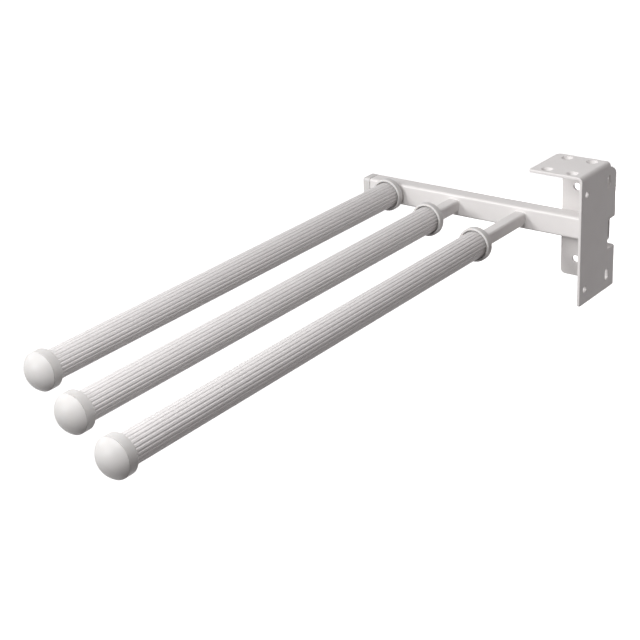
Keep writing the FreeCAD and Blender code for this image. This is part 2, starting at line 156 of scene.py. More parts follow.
# %% [markdown]
# ### White powder coat
#
# The bracket, crossbar and rails are coated with powder that is melted on. It flows out to a
# satin skin with a faint orange peel. At edges, where hands rub it, it is a little paler. Those
# edges could be painted by hand, but a bevel node finds them: where its softened normal differs
# from the true one, an edge is near. That also holds for holes and for any later change of shape.

# %% Find the edges
# How alike the softened and the true normal are, where 1 is the same direction.
ALIKE_ON_FLATS = 0.995
ALIKE_AT_EDGES = 0.85


def edge_nearness(tree, reach):
    """About 1 close to an edge and 0 away from it."""
    soft = shader(tree, "Bevel", {"Radius": reach}, samples=4)
    true = shader(tree, "NewGeometry")
    alike = shader(tree, "VectorMath", {0: soft.outputs["Normal"], 1: true.outputs["Normal"]},
                   operation="DOT_PRODUCT")
    nearness = shader(tree, "MapRange", {
        "Value": alike.outputs["Value"], "From Min": ALIKE_ON_FLATS, "From Max": ALIKE_AT_EDGES,
        "To Min": 0.0, "To Max": 1.0})
    return nearness.outputs["Result"]


# %% Powder coat
coat_darker = (0.775, 0.755, 0.745, 1)
coat_paler = (0.815, 0.795, 0.785, 1)
coat_rubbed = (0.85, 0.84, 0.83, 1)


def powder_coat():
    material, tree, surface, place = new_material("white_powder_coat")
    cloudy = varied(tree, place, scale=45.0, low=coat_darker, high=coat_paler)
    peel = varied(tree, place, scale=900.0, low=0.0, high=1.0, detail=2.0)
    connect(tree, surface, {
        "Base Color": mixed(tree, edge_nearness(tree, reach=0.8 * MM), cloudy, coat_rubbed),
        "Roughness": varied(tree, place, scale=160.0, low=0.36, high=0.46),
        "Normal": relief(tree, peel, strength=0.25, depth=0.05 * MM),
        "Coat Weight": 0.15,
        "Coat Roughness": 0.3,
    })
    return material


white_coat = powder_coat()

# %% [markdown]
# ### Fluted aluminium
#
# The tubes are extrusions, etched and anodised to a pale satin. Etching leaves a fine sandy
# grain, which is in the colour. Extruding leaves hair lines along the tube, so the noise of the
# bump and the roughness is stretched: far finer across the arm than along it. A fully metallic
# shader would mirror the room. The anodised skin scatters most of the light itself, so only a
# little of the look is metal.

# %% Satin aluminium
hair_lines = (1.0, 0.01, 1.0)
satin_darker = (0.745, 0.73, 0.725, 1)
satin_paler = (0.825, 0.81, 0.805, 1)


def satin_aluminium():
    material, tree, surface, place = new_material("fluted_aluminium")
    lines = varied(tree, place, scale=2600.0, low=0.0, high=1.0, detail=3.0, stretch=hair_lines)
    connect(tree, surface, {
        "Base Color": varied(
            tree, place, scale=800.0, low=satin_darker, high=satin_paler, detail=2.0),
        "Roughness": varied(tree, place, scale=90.0, low=0.38, high=0.46, stretch=hair_lines),
        "Normal": relief(tree, lines, strength=0.06, depth=0.03 * MM),
        "Metallic": 0.03,
        "Specular IOR Level": 0.35,
    })
    return material


aluminium = satin_aluminium()

# %% [markdown]
# ### Moulded white plastic
#
# Caps and collars are moulded in a white plastic with a silky skin, so their highlights are soft
# and wide. Paint could be shaded the same way, but light goes a little way into plastic, which
# softens its shadows, so it gets some subsurface scattering. The parts are small, and too much
# of it would swallow their edges.

# %% White plastic
plastic_darker = (0.645, 0.635, 0.625, 1)
plastic_paler = (0.685, 0.675, 0.665, 1)
light_travel = (1.5 * MM, 1.3 * MM, 1.1 * MM)


def white_plastic():
    material, tree, surface, place = new_material("moulded_white_plastic")
    mould_marks = varied(tree, place, scale=500.0, low=0.0, high=1.0)
    connect(tree, surface, {
        "Base Color": varied(tree, place, scale=60.0, low=plastic_darker, high=plastic_paler),
        "Roughness": varied(tree, place, scale=220.0, low=0.40, high=0.50),
        "Normal": relief(tree, mould_marks, strength=0.12, depth=0.03 * MM),
        "Subsurface Weight": 0.15,
        "Subsurface Radius": light_travel,
        "Subsurface Scale": 1.0,
    })
    return material


plastic = white_plastic()

# %% [markdown]
# ### Nylon and plain steel
#
# The glides and their pins work out of sight inside the tubes. They could stay grey, but whoever
# takes an arm apart should find them finished too: waxy natural nylon with a faint moulded skin,
# and steel with the fine rings that turning leaves. The rings are a noise that changes quickly
# along the pin and hardly at all across it.

# %% Nylon and steel
nylon_darker = (0.74, 0.71, 0.62, 1)
nylon_paler = (0.80, 0.77, 0.68, 1)
steel_darker = (0.50, 0.50, 0.51, 1)
steel_paler = (0.60, 0.60, 0.61, 1)
turned_rings = (0.02, 0.02, 1.0)


def natural_nylon():
    material, tree, surface, place = new_material("natural_nylon")
    mould_marks = varied(tree, place, scale=600.0, low=0.0, high=1.0)
    connect(tree, surface, {
        "Base Color": varied(tree, place, scale=80.0, low=nylon_darker, high=nylon_paler),
        "Roughness": varied(tree, place, scale=300.0, low=0.45, high=0.6),
        "Normal": relief(tree, mould_marks, strength=0.15, depth=0.03 * MM),
    })
    return material


def turned_steel():
    material, tree, surface, place = new_material("turned_steel")
    rings = varied(tree, place, scale=2000.0, low=0.0, high=1.0, stretch=turned_rings)
    connect(tree, surface, {
        "Base Color": varied(
            tree, place, scale=900.0, low=steel_darker, high=steel_paler, stretch=turned_rings),
        "Roughness": varied(tree, place, scale=900.0, low=0.25, high=0.4, stretch=turned_rings),
        "Normal": relief(tree, rings, strength=0.1, depth=0.02 * MM),
        "Metallic": 1.0,
    })
    return material


nylon = natural_nylon()
pin_steel = turned_steel()

# %% [markdown]
# ## The pieces that keep their shape
#
# The crossbar and rails are plain tubes with rounded corners, and the glides and pins are small.
# The frame already has all of them as they are, so remaking them would gain nothing. They only
# need their finish: the material goes on the object's own slot, and the mesh stays untouched.


# %% Finish the kept pieces
def finish_node(name, material):
    """Gives a piece of the frame its finish, and leaves its mesh alone."""
    slot = nodes[name].material_slots[0]
    slot.link = "OBJECT"
    slot.material = material
    print(f"{name}: {material.name}")


finish_node("crossbar", white_coat)
for arm in ARMS:
    finish_node(f"rail_{arm}", white_coat)
    finish_node(f"glide_{arm}", nylon)
    finish_node(f"glide_pin_{arm}", pin_steel)

# %% [markdown]
# ## One outline helper for everything
#
# Sheet blanks, moulded rims and lathe profiles are all outlines with rounded corners. A corner is
# written as (x, y, radius), and the helper puts an arc there that touches both of its sides. An
# arc drawn this way stays an arc when the sizes change, which a list of points would not.


# %% Rounded outlines
def rounded(corners, steps=6):
    """Points round a closed outline of (x, y, radius) corners."""
    points = []
    for index, (x, y, radius) in enumerate(corners):
        here = Vector((x, y))
        before = Vector(corners[index - 1][:2]) - here
        after = Vector(corners[(index + 1) % len(corners)][:2]) - here
        if radius == 0:
            points.append(here)
            continue
        before.normalize()
        after.normalize()
        half = before.angle(after) / 2
        centre = here + (before + after).normalized() * (radius / math.sin(half))
        start = here + before * (radius / math.tan(half)) - centre
        turn = start.angle_signed(here + after * (radius / math.tan(half)) - centre)
        for step in range(steps + 1):
            points.append(centre + Matrix.Rotation(-turn * step / steps, 2) @ start)
    return points


def quarter(radius, steps=6):
    """(inset, distance) pairs round an edge, from one face to the next."""
    turns = [math.pi / 2 * step / steps for step in range(steps + 1)]
    return [(radius * (1 - math.sin(turn)), radius * (1 - math.cos(turn))) for turn in turns]


# %% [markdown]
# ## From rings to skins
#
# A lathe turns a profile round an axis, and a moulding is a stack of outlines. Both are rings of
# points with faces between one ring and the next, so one helper skins them. Modelling from rings
# keeps the faces four-sided and in rows, which is what makes rounded edges catch the light well.
#
# Each piece then gets weighted normals, which keep a flat face flat right up to its rounded edge.
# It is hung on the body that it rides on, the node that it stands for is hidden, and it gets its
# finish.


# %% Skins
def skin(work, rings, closed_along=False):
    """Makes the faces between rings of points, and returns the rings of vertices."""
    made = [[work.verts.new(point) for point in ring] for ring in rings]
    pairs = list(zip(made, made[1:]))
    if closed_along:
        pairs.append((made[-1], made[0]))
    for first, second in pairs:
        count = len(first)
        for index in range(count):
            after = (index + 1) % count
            work.faces.new((first[index], first[after], second[after], second[index]))
    return made


# %% From skin to piece
SAME_POINT = 0.002 * MM


def add_object(name, data):
    """Puts a new object into the scene."""
    made = bpy.data.objects.new(name, data)
    bpy.context.scene.collection.objects.link(made)
    return made


def mesh_object(name, work, material):
    """Turns the working mesh into an object with one material."""
    mesh = bpy.data.meshes.new(name)
    work.to_mesh(mesh)
    work.free()
    mesh.materials.append(material)
    return add_object(name, mesh)


def piece(name, work, body, material, replaced, smooth_angle=35):
    """Makes an object of the working mesh that rides on a body and stands for a node."""
    bmesh.ops.remove_doubles(work, verts=work.verts, dist=SAME_POINT)
    bmesh.ops.recalc_face_normals(work, faces=work.faces)
    made = mesh_object(name, work, material)
    made.data.shade_smooth()
    made.data.set_sharp_from_angle(angle=math.radians(smooth_angle))
    weighted = made.modifiers.new("even_normals", "WEIGHTED_NORMAL")
    weighted.keep_sharp = True
    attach(made, body)
    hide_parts(replaced)
    low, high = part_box(replaced)
    print(f"{name}: {len(made.data.polygons)} faces, for a node of {in_mm(high - low)}")


# %% [markdown]
# ## The bracket: cut flat, then folded
#
# The real bracket is a flat blank of sheet steel, cut with all its holes and then folded twice.
# Modelling it the same way is the easy way to soft edges that run round every corner: the blank's
# outlines get a rounded edge while they are flat, and folding is a formula that carries points
# from the blank to the bracket. Boxes and booleans would leave razor edges where the folds meet.
#
# On the blank, x is the depth from front to back and y is the height, as on the side plate. What
# lies beyond a fold line is rolled round the bend and then runs on straight.

# %% Sizes of the bracket
plate_low, plate_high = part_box("mounting_bracket")
sheet = 2.3 * MM
bend = 3.5 * MM
bend_length = math.pi / 2 * (bend - sheet / 2)

outer = plate_high.x
front = plate_low.y
back = plate_high.y
foot = plate_low.z
flange_left = -outer
flange_back = -front
top_fold = -bend
back_fold = back - bend
flange_end = top_fold + bend_length + (outer - bend) - flange_left
back_end = back_fold + bend_length + (outer - bend) - plate_low.x
print("blank:", in_mm((back_end - front, flange_end - foot)))


# %% Folding
def rolled(past):
    """For a point past a fold line: its straight run after the bend, and its turn round it."""
    turn = min(max(past / bend_length, 0), 1) * math.pi / 2
    return max(past - bend_length, 0), turn


def folded(point):
    """Where a point of the blank lies on the bracket. Its z is the depth below the outer face."""
    depth, height, under = point
    centre = outer - bend
    radius = bend - under
    if height > top_fold:
        straight, turn = rolled(height - top_fold)
        sideways = centre + radius * math.cos(turn) - straight
        return Vector((sideways, depth, top_fold + radius * math.sin(turn)))
    if depth > back_fold:
        straight, turn = rolled(depth - back_fold)
        sideways = centre + radius * math.cos(turn) - straight
        return Vector((sideways, back_fold + radius * math.sin(turn), height))
    return Vector((outer - under, depth, height))


# %% [markdown]
# ### The blank's outline
#
# The plate's upper rear corner is cut round, as seen from the side, and the cut runs on into the
# bend. On the blank its height therefore follows the depth that each point will have once folded.
# Cutting the folded bracket with a boolean would give the same curve, but with a sharp edge.

# %% Outline
back_top = -17.5 * MM
cut_round = 14 * MM
front_round = 2.0 * MM
back_flange_round = 3.5 * MM
top_flange_round = 4.0 * MM
bend_steps = 12


def cut_height(depth):
    """Height of the round cut at a depth on the finished bracket."""
    reach = depth - (back - cut_round)
    return back_top + math.sqrt(max(cut_round ** 2 - reach ** 2, 0))


round_cut = []
for step in range(bend_steps, -1, -1):
    turn = math.pi / 2 * step / bend_steps
    along = back_fold + bend_length * step / bend_steps
    round_cut.append((along, cut_height(back_fold + bend * math.sin(turn)), 0))
for step in range(1, bend_steps + 1):
    along = back_fold + (flange_back - back_fold) * step / bend_steps
    round_cut.append((along, cut_height(along), 0))

blank_outline = rounded([
    (front, foot, front_round),
    (back_end, foot, back_flange_round),
    (back_end, back_top, back_flange_round),
    *round_cut,
    (flange_back, flange_end, top_flange_round),
    (front, flange_end, front_round),
])
print(f"outline: {len(blank_outline)} points")

# %% [markdown]
# ### Window, slots and holes
#
# The window and the slots are both rectangles with round corners, so one helper makes them. A
# slot's corners have nearly half its width as their radius: the hair that is left over keeps two
# arcs from meeting in one point. All openings run clockwise, against the outline, so that the
# sheet lies on the left of every edge.

# %% Window
window_left = 20.1 * MM
window_right = back_end - 32.0 * MM
window_top = -43.8 * MM
window_bottom = -66.8 * MM
window_round = 0.6 * MM


def cut_out(left, right, bottom, top, corner, steps=6):
    """Points round a rectangle with round corners, clockwise."""
    return rounded([
        (left, bottom, corner), (left, top, corner),
        (right, top, corner), (right, bottom, corner)], steps)


holes = [cut_out(window_left, window_right, window_bottom, window_top, window_round)]
print("window in the blank:", in_mm((window_right - window_left, window_top - window_bottom)))

# %% Holes and slots
hole_depth = -14 * MM
slot_depth = 20 * MM
side_heights = (-14.2 * MM, -86.2 * MM)
side_hole = 2.5 * MM
slot_half = 4.5 * MM
slot_round = side_hole - 0.01 * MM
back_hole_x = back_end - 12.3 * MM
back_heights = (-27 * MM, -84 * MM)
back_hole = 2.75 * MM


def round_hole(x, y, radius, steps=40):
    """Points round a circle, clockwise."""
    angles = [-2 * math.pi * step / steps for step in range(steps)]
    return [Vector((x + radius * math.cos(angle), y + radius * math.sin(angle)))
            for angle in angles]


for height in side_heights:
    holes.append(round_hole(hole_depth, height, side_hole))
    holes.append(cut_out(slot_depth - side_hole, slot_depth + side_hole,
                         height - slot_half, height + slot_half, slot_round, steps=10))
for height in back_heights:
    holes.append(round_hole(back_hole_x, height, back_hole))
print(f"{len(holes)} openings in the side plate and the back flange")

# %% Screw holes in the top flange
screw_hole = 2.25 * MM
screw_head = 4.25 * MM
screw_across = 10 * MM
screw_deep = 15 * MM
flange_middle = flange_end - outer

screw_places = [(y, flange_middle + x)
                for x in (-screw_across, screw_across) for y in (-screw_deep, screw_deep)]
screw_holes = [round_hole(x, y, screw_head) for x, y in screw_places]
print(f"{len(screw_holes)} screw holes")

# %% [markdown]
# ### Cutting the blank
#
# Each outline is moved a little into the sheet, ring by ring, while the rings go down through its
# thickness. That gives an edge that is round on both faces. The two faces are then filled between
# the outermost rings. A bevel modifier could round the edges too, but it gives all of them the
# same width, and here the outline is rounder than the holes.

# %% Cut the blank
edge_round = 0.55 * MM
hole_round = 0.25 * MM


def inset(loop, distance):
    """Moves a closed outline sideways, into the material on its left."""
    moved = []
    for index, here in enumerate(loop):
        first = (here - loop[index - 1]).normalized()
        second = (loop[(index + 1) % len(loop)] - here).normalized()
        left = Vector((-first.y - second.y, first.x + second.x)).normalized()
        moved.append(here + left * (distance / left.dot(Vector((-first.y, first.x)))))
    return moved


def edge_profile(radius):
    """(inset, depth) pairs down a sheet's edge that is rounded on both faces."""
    upper = quarter(radius, steps=4)
    return upper + [(inwards, sheet - depth) for inwards, depth in reversed(upper)]


def cut_blank(loops_and_rounds):
    """A flat sheet with rounded edges, from its outlines and the radius of each one's edge."""
    work = bmesh.new()
    upper_rims, lower_rims = [], []
    for loop, radius in loops_and_rounds:
        rings = [[(point.x, point.y, depth) for point in inset(loop, inwards)]
                 for inwards, depth in edge_profile(radius)]
        made = skin(work, rings)
        upper_rims.append(made[0])
        lower_rims.append(made[-1])
    for rims in (upper_rims, lower_rims):
        edges = [work.edges.get((ring[index - 1], ring[index]))
                 for ring in rims for index in range(len(ring))]
        bmesh.ops.triangle_fill(work, edges=edges, use_beauty=True)
    return work


blank = cut_blank(
    [(blank_outline, edge_round)] + [(loop, hole_round) for loop in holes + screw_holes])
print(f"flat blank: {len(blank.faces)} faces")

# %% [markdown]
# ### Countersinking and folding
#
# The countersinks are pressed in while the blank is flat: near a screw hole, the deeper a point
# lies in the sheet, the closer it is drawn to the hole's centre. Then the sheet is sliced along
# lines across each bend, so that it has something to bend at, and folded.

# %% Countersink and fold
sink_reach = screw_head + 2 * hole_round
sink_depth = screw_head - screw_hole
on_the_line = 0.001 * MM

for vertex in blank.verts:
    for x, y in screw_places:
        away = Vector((vertex.co.x - x, vertex.co.y - y))
        if away.length < sink_reach:
            away = away.normalized() * (away.length - min(vertex.co.z, sink_depth))
            vertex.co.x = x + away.x
            vertex.co.y = y + away.y

for step in range(bend_steps + 1):
    along = bend_length * step / bend_steps
    top_line = (0, top_fold + along, 0), (0, 1, 0)
    back_line = (back_fold + along, 0, 0), (1, 0, 0)
    for place, across in (top_line, back_line):
        everything = blank.verts[:] + blank.edges[:] + blank.faces[:]
        bmesh.ops.bisect_plane(
            blank, geom=everything, plane_co=place, plane_no=across, dist=on_the_line)

for vertex in blank.verts:
    vertex.co = folded(vertex.co)

piece("folded_bracket", blank, "frame", white_coat, "mounting_bracket")

# %% [markdown]
# ## The fluted tubes
#
# A flute is a round hollow that runs along the tube. Across the tube, the wall's radius is the
# smaller of the plain radius and the hollow's edge. A sharp minimum would give knife ridges, and
# an extrusion die can't cut those, so a smooth minimum rounds each ridge by a few hundredths.
# A bump map could only pretend: real flutes also show at the tube's outline and at its end.

# %% Sizes of the tubes
tube_radius = 10.0 * MM
tube_bore = 8.6 * MM
flutes = 24
flute_radius = 0.8 * MM
flute_depth = 0.4 * MM
ridge_softness = 0.025 * MM
points_per_flute = 14
flute_turn = {1: 11.0, 2: 4.0, 3: 10.5}
print("from flute to flute:", in_mm([2 * math.pi * tube_radius / flutes]))


# %% Make the tubes
def flute_section(start):
    """(angle, radius) pairs round the fluted wall, from a starting angle in degrees."""
    pairs = []
    count = flutes * points_per_flute
    pitch = 2 * math.pi / flutes
    hollow_centre = tube_radius + flute_radius - flute_depth
    for step in range(count):
        angle = 2 * math.pi * step / count
        off = (angle + pitch / 2) % pitch - pitch / 2
        reach = max(flute_radius ** 2 - (hollow_centre * math.sin(off)) ** 2, 0)
        hollow = hollow_centre * math.cos(off) - math.sqrt(reach)
        if abs(hollow_centre * math.sin(off)) >= flute_radius:
            hollow = hollow_centre
        lower = min(tube_radius, hollow)
        blend = sum(math.exp((lower - radius) / ridge_softness) for radius in (tube_radius, hollow))
        pairs.append((angle + math.radians(start), lower - ridge_softness * math.log(blend)))
    return pairs


def fluted_tube(arm):
    low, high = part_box(f"tube_{arm}")
    axis = (low + high) / 2
    wall = flute_section(flute_turn[arm])
    bore = [(angle, tube_bore) for angle, _ in wall]
    rings = []
    for y, section in ((high.y, bore), (high.y, wall), (low.y, wall), (low.y, bore)):
        rings.append([
            Vector((axis.x + radius * math.cos(angle), y, axis.z + radius * math.sin(angle)))
            for angle, radius in section])
    work = bmesh.new()
    skin(work, rings, closed_along=True)
    piece(f"fluted_tube_{arm}", work, f"arm_{arm}", aluminium, f"tube_{arm}")


for arm in ARMS:
    fluted_tube(arm)

# %% [markdown]
# ## Lathe work: caps and collars
#
# A domed cap closes each tube at the front, and a collar guides it on its rail at the back. Both
# are moulded round the arm's axis. A screw modifier could turn them, but it makes only circles,
# and the collar's bore is square, to fit the rail. So a profile of (distance along the arm,
# radius) corners is turned by our own helper: rings near the bore follow a rounded square instead
# of a circle, at the same angles, and the faces between them stay in order.

# %% Turning
turn_steps = 96


def square_radius(angle, half, corner=1.7 * MM):
    """Distance from the middle to the edge of a rounded square, in a direction."""
    x, y = abs(math.cos(angle)), abs(math.sin(angle))
    flat = half / max(x, y)
    core = half - corner
    if min(x, y) * flat <= core:
        return flat
    across = core * (x + y)
    return across + math.sqrt(across ** 2 - 2 * core ** 2 + corner ** 2)


def turned(work, axis, start, profile, opening=0, square_reach=0):
    """Turns a profile of (distance towards the front, radius) points round the arm's axis.

    Points that lie closer to the axis than square_reach follow the square opening."""
    rings = []
    for along, radius in profile:
        ring = []
        for step in range(turn_steps):
            angle = 2 * math.pi * step / turn_steps
            reach = radius
            if radius < square_reach:
                reach = square_radius(angle, opening) + radius - opening
            ring.append(Vector((
                axis.x + reach * math.cos(angle), start - along, axis.z + reach * math.sin(angle))))
        rings.append(ring)
    skin(work, rings, closed_along=True)


# %% [markdown]
# ### Collars
#
# A collar is pressed onto the tube's back end, and a sleeve inside it runs on the rail. From the
# photograph: a thick ring with a well rounded back edge, and a narrow bright rim at the front that
# stands a little off the tube, so that a dark line shows between them. A plain ring would lose
# that line, so the profile has the real gap.

# %% Make the collars
collar_length = 5.7 * MM
collar_floor = 2.3 * MM
collar_mouth = 11.05 * MM
collar_back_round = 1.5 * MM
collar_front_round = 0.9 * MM
sleeve_length = 14 * MM
sleeve_radius = 8.55 * MM
sleeve_round = 0.6 * MM
rail_opening = 4.85 * MM
opening_round = 0.35 * MM
inner_round = 0.3 * MM


def moulded_collar(arm):
    low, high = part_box(f"collar_{arm}")
    axis = (low + high) / 2
    outside = (high.x - low.x) / 2
    sleeve_end = collar_floor + sleeve_length
    profile = rounded([
        (0, rail_opening, opening_round),
        (0, outside, collar_back_round),
        (collar_length, outside, collar_front_round),
        (collar_length, collar_mouth, opening_round),
        (collar_floor, collar_mouth, inner_round),
        (collar_floor, sleeve_radius, 0),
        (sleeve_end, sleeve_radius, sleeve_round),
        (sleeve_end, rail_opening, opening_round),
    ], steps=7)
    work = bmesh.new()
    turned(work, axis, high.y, profile, rail_opening, square_reach=rail_opening + 0.5 * MM)
    piece(f"moulded_collar_{arm}", work, f"arm_{arm}", plastic, f"collar_{arm}")


for arm in ARMS:
    moulded_collar(arm)

# %% [markdown]
# ### Domed caps
#
# A cap has a short straight skirt over the tube, a fine line pressed in where the mould parts,
# and a shallow dome. The dome is an arc through its base and its tip, so its radius follows from
# those two sizes. The line could be dark paint, but as real depth in the profile it has a shadow
# of its own and stays dark from every side.

# %% Make the caps
cap_skirt = 7.8 * MM
cap_cover = 4.7 * MM
cap_mouth = 10.4 * MM
skirt_round = 1.1 * MM
line_width = 0.35 * MM
line_depth = 0.45 * MM
line_round = 0.15 * MM
dome_lip = 0.1 * MM
dome_height = 7.3 * MM
plug_radius = 8.55 * MM
plug_round = 0.8 * MM


def dome_points(base_at, dome_base, steps=22):
    """Points of the dome from its tip to its base, as corners without a radius."""
    curve = (dome_base ** 2 + dome_height ** 2) / (2 * dome_height)
    opening = math.asin(dome_base / curve)
    centre = base_at + dome_height - curve
    angles = [opening * step / steps for step in range(steps + 1)]
    return [(centre + curve * math.cos(angle), curve * math.sin(angle), 0) for angle in angles]


def domed_cap(arm):
    low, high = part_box(f"end_cap_{arm}")
    axis = (low + high) / 2
    cap_radius = (high.x - low.x) / 2
    skirt_back = high.y - low.y - dome_height - cap_skirt
    crease = skirt_back + cap_skirt
    seat = skirt_back + cap_cover
    profile = rounded([
        *dome_points(crease, cap_radius - dome_lip),
        (crease, cap_radius - line_depth, 0),
        (crease - line_width, cap_radius - line_depth, 0),
        (crease - line_width, cap_radius, line_round),
        (skirt_back, cap_radius, skirt_round),
        (skirt_back, cap_mouth, inner_round),
        (seat, cap_mouth, 0),
        (seat, plug_radius, 0),
        (0, plug_radius, plug_round),
        (0, 0, 0),
    ])
    work = bmesh.new()
    turned(work, axis, high.y, profile)
    piece(f"domed_cap_{arm}", work, f"arm_{arm}", plastic, f"end_cap_{arm}")


for arm in ARMS:
    domed_cap(arm)

# %% [markdown]
# ## The crossbar's end cap
#
# A small moulded block closes the crossbar's free end. A cube with a bevel would have the same
# round everywhere. This one is a stack of rounded rectangles: a generous round on the outside, a
# fine one at the seam, a groove, and the plug that grips the crossbar's inside. The fine round
# and the groove are what draws the dark line at the seam.

# %% Make the crossbar's cap
bar_low, bar_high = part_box("crossbar")
bar_round = 2.0 * MM
least_round = 0.3 * MM
bar_wall = 1.65 * MM
face_round = 1.5 * MM
seam_round = 0.35 * MM
groove = 0.6 * MM
groove_depth = 1.2 * MM
taper_length = 0.8 * MM
taper = 0.6 * MM


def bar_section(x, inwards):
    """The crossbar's outline at x, drawn in by a distance."""
    corner = max(bar_round - inwards, least_round)
    y0, y1 = bar_low.y + inwards, bar_high.y - inwards
    z0, z1 = bar_low.z + inwards, bar_high.z - inwards
    outline = rounded(
        [(y0, z0, corner), (y1, z0, corner), (y1, z1, corner), (y0, z1, corner)], steps=8)
    return [Vector((x, point.x, point.y)) for point in outline]


def bar_cap():
    low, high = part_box("crossbar_end_cap")
    seam = bar_low.x
    face = [(low.x + away, inwards) for inwards, away in quarter(face_round)]
    rim = [(seam - groove - away, inwards)
           for inwards, away in reversed(quarter(seam_round, steps=4))]
    plug = [(seam - groove, groove_depth), (seam, groove_depth), (seam, bar_wall),
            (high.x - taper_length, bar_wall), (high.x, bar_wall + taper)]
    work = bmesh.new()
    made = skin(work, [bar_section(x, inwards) for x, inwards in face + rim + plug])
    work.faces.new(made[0])
    work.faces.new(made[-1])
    piece("bar_cap", work, "frame", plastic, "crossbar_end_cap")


bar_cap()

# %% [markdown]
# ## Weld beads under the coat
#
# Each rail is welded to the crossbar, and the crossbar to the bracket. Under the coat a bead is a
# small hollow fillet with ripples where the arc moved on. A bevel along the joint would be too
# clean, so a short section is carried round it. Its size swells and shrinks with the distance
# run, and a little noise, which gives the same values each time, keeps the ripples uneven.

# %% A bead along a path
weld_leg = 0.6 * MM
weld_hollow = 0.85
weld_steps = 6
ripple = 0.1 * MM
ripples_per_metre = 950.0
wobble_size = 1.5 * MM


def bead(work, path, out, closed):
    """A hollow fillet along a path of (foot on the tube, direction away from it) pairs."""
    rings = []
    run = 0.0
    for index, (foot, away) in enumerate(path):
        if index:
            run += (foot - path[index - 1][0]).length
        wobble = noise.noise(foot / wobble_size) * ripple
        wave = ripple * math.sin(run * ripples_per_metre * 2 * math.pi)
        leg = weld_leg - ripple + wave / 2 + wobble / 2
        ring = [foot]
        for step in range(weld_steps + 1):
            turn = math.pi / 2 * step / weld_steps
            sideways = leg * (1 - math.sin(turn) * weld_hollow)
            outwards = leg * (1 - math.cos(turn) * weld_hollow)
            ring.append(foot + away * sideways + out * outwards)
        rings.append(ring)
    made = skin(work, rings, closed_along=closed)
    if not closed:
        work.faces.new(made[0])
        work.faces.new(made[-1])


# %% The path round a tube
def tube_path(centre, half_across, half_up, corner, across, up, spacing=0.15 * MM):
    """(foot, direction away) pairs round a rounded rectangle."""
    outline = rounded([
        (-half_across, -half_up, corner), (half_across, -half_up, corner),
        (half_across, half_up, corner), (-half_across, half_up, corner)], steps=14)
    fine = []
    for index, here in enumerate(outline):
        following = outline[(index + 1) % len(outline)]
        parts = max(1, round((following - here).length / spacing))
        fine += [here.lerp(following, part / parts) for part in range(parts)]
    pairs = []
    for index, here in enumerate(fine):
        heading = fine[(index + 1) % len(fine)] - fine[index - 1]
        away = Vector((heading.y, -heading.x)).normalized()
        pairs.append((centre + across * here.x + up * here.y, across * away.x + up * away.y))
    return pairs


# %% Weld the rails
UP = Vector((0, 0, 1))
RIGHT = Vector((1, 0, 0))
LEFT = Vector((-1, 0, 0))
FRONT = Vector((0, -1, 0))
BACK = Vector((0, 1, 0))
rail_round = 1.6 * MM
ripple_angle = 70


def rail_bead(arm):
    low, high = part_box(f"rail_{arm}")
    centre = Vector(((low.x + high.x) / 2, bar_low.y, (low.z + high.z) / 2))
    half = (high.x - low.x) / 2
    work = bmesh.new()
    bead(work, tube_path(centre, half, half, rail_round, RIGHT, UP), FRONT, closed=True)
    piece(f"rail_bead_{arm}", work, "frame", white_coat, f"rail_weld_{arm}",
          smooth_angle=ripple_angle)


for arm in ARMS:
    rail_bead(arm)

# %% [markdown]
# The crossbar's bead can't run all the way round, because most of the bar's end looks out through
# the bracket's window. The path is made all the way round, what lies in the window is left out,
# and the rest is put in order from the point after the gap.

# %% Weld the crossbar to the bracket
window_clearance = 0.1 * MM


def plate_bead():
    centre = Vector((bar_high.x, (bar_low.y + bar_high.y) / 2, (bar_low.z + bar_high.z) / 2))
    half_across = (bar_high.y - bar_low.y) / 2
    half_up = (bar_high.z - bar_low.z) / 2
    pairs = tube_path(centre, half_across, half_up, bar_round, BACK, UP)
    on_plate = [pair for pair in pairs if pair[0].y < window_left - window_clearance]
    gaps = [(pair[0] - on_plate[index - 1][0]).length for index, pair in enumerate(on_plate)]
    first = gaps.index(max(gaps))
    work = bmesh.new()
    bead(work, on_plate[first:] + on_plate[:first], LEFT, closed=False)
    piece("plate_bead", work, "frame", white_coat, "bracket_weld",
          smooth_angle=ripple_angle)


plate_bead()

# %% [markdown]
# ## Studio
#
# The photograph is a cut-out on white. Strong lamps on a white floor would burn out the white
# coat, so the floor is white to the eye only: the camera and reflections see glowing paper, which
# still keeps a faint shadow. Light that bounces off it meets a darker paper, or the object's
# undersides would be as bright as its tops. The floor lies well below, as the holder hangs under
# a shelf. The surroundings are handled the same way, and their light has a faint warm tint, as
# the photograph's shaded faces have.


# %% White to the eye
def white_to_the_eye(tree, seen, lit):
    """Mixes two shaders: one for the camera and reflections, one for scattered light."""
    path = shader(tree, "LightPath")
    share = path.outputs["Is Camera Ray"]
    for ray in ("Is Glossy Ray", "Is Transmission Ray"):
        either = shader(tree, "Math", {0: share, 1: path.outputs[ray]}, operation="MAXIMUM")
        share = either.outputs[0]
    return shader(tree, "MixShader", {0: share, 1: lit, 2: seen}).outputs[0]


# %% Floor
floor_drop = 0.75
floor_half = 12.0
floor_glow = 0.8
white = (1, 1, 1, 1)
pale_paper = (0.80, 0.80, 0.80, 1)
dark_paper = (0.18, 0.165, 0.165, 1)


